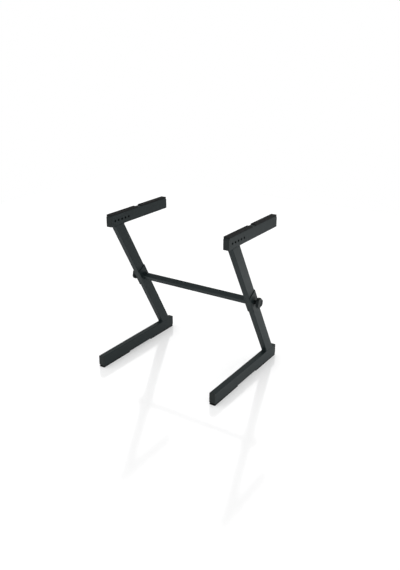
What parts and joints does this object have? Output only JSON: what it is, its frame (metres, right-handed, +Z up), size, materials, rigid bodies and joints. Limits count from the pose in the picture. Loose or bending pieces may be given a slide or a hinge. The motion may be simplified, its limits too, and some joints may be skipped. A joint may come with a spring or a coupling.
{
  "type": "z keyboard stand",
  "caption": "Free-standing Z-shaped stand that carries a stage keyboard on two padded arms, with its side frames joined by a clamped crossbar.",
  "frame": {"origin": "on the floor, midway between the side frames and midway along the feet", "axes": "+X across the stand to the player's right, -Y towards the player, +Z up"},
  "size_m": [0.6686, 0.532, 0.6835],
  "materials": {
    "powder_coat": "satin, fine-textured black powder coat",
    "coated_weld": "rippled weld bead under the same black powder coat",
    "cap_plastic": "matte moulded black plastic",
    "pad_rubber": "matte black rubber",
    "knob_plastic": "satin moulded black plastic",
    "black_zinc_steel": "black passivated zinc plating"
  },
  "bodies": {
    "frame": {"crossbar": "powder_coat", "left_foot_tube": "powder_coat", "left_leg_tube": "powder_coat", "left_arm_tube": "powder_coat", "left_clamp_bracket": "powder_coat", "left_foot_front_weld": "coated_weld", "left_foot_rear_weld": "coated_weld", "left_arm_front_weld": "coated_weld", "left_arm_rear_weld": "coated_weld", "left_bar_weld": "coated_weld", "left_foot_front_cap": "cap_plastic", "left_foot_rear_cap": "cap_plastic", "left_arm_front_cap": "cap_plastic", "left_arm_rear_cap": "cap_plastic", "left_foot_front_pad": "pad_rubber", "left_foot_rear_pad": "pad_rubber", "left_arm_front_pad": "pad_rubber", "left_arm_rear_pad": "pad_rubber", "left_leg_spacer": "black_zinc_steel", "left_weld_nut": "black_zinc_steel", "right_foot_tube": "powder_coat", "right_leg_tube": "powder_coat", "right_arm_tube": "powder_coat", "right_clamp_bracket": "powder_coat", "right_foot_front_weld": "coated_weld", "right_foot_rear_weld": "coated_weld", "right_arm_front_weld": "coated_weld", "right_arm_rear_weld": "coated_weld", "right_bar_weld": "coated_weld", "right_foot_front_cap": "cap_plastic", "right_foot_rear_cap": "cap_plastic", "right_arm_front_cap": "cap_plastic", "right_arm_rear_cap": "cap_plastic", "right_foot_front_pad": "pad_rubber", "right_foot_rear_pad": "pad_rubber", "right_arm_front_pad": "pad_rubber", "right_arm_rear_pad": "pad_rubber", "right_leg_spacer": "black_zinc_steel", "right_weld_nut": "black_zinc_steel"},
    "left_washer": {"left_washer": "black_zinc_steel"},
    "left_knob": {"left_knob": "knob_plastic", "left_clamp_bolt": "black_zinc_steel"},
    "right_washer": {"right_washer": "black_zinc_steel"},
    "right_knob": {"right_knob": "knob_plastic", "right_clamp_bolt": "black_zinc_steel"}
  },
  "joints": [
    {"name": "left_clamp_travel", "type": "slide", "parent": "frame", "child": "left_washer", "axis": [-1, 0, 0], "range_m": [0, 0.005]},
    {"name": "left_knob_turn", "type": "hinge", "parent": "left_washer", "child": "left_knob", "pos_m": [-0.2915, 0.04532, 0.34359], "axis": [-1, 0, 0], "range_deg": [0, 1440]},
    {"name": "right_clamp_travel", "type": "slide", "parent": "frame", "child": "right_washer", "axis": [1, 0, 0], "range_m": [0, 0.005]},
    {"name": "right_knob_turn", "type": "hinge", "parent": "right_washer", "child": "right_knob", "pos_m": [0.2915, 0.04532, 0.34359], "axis": [1, 0, 0], "range_deg": [0, 1440]}
  ],
  "couplings": [
    {"joint": "left_clamp_travel", "follows": "left_knob_turn", "m_per_rad": 0.00019894},
    {"joint": "right_clamp_travel", "follows": "right_knob_turn", "m_per_rad": 0.00019894}
  ]
}
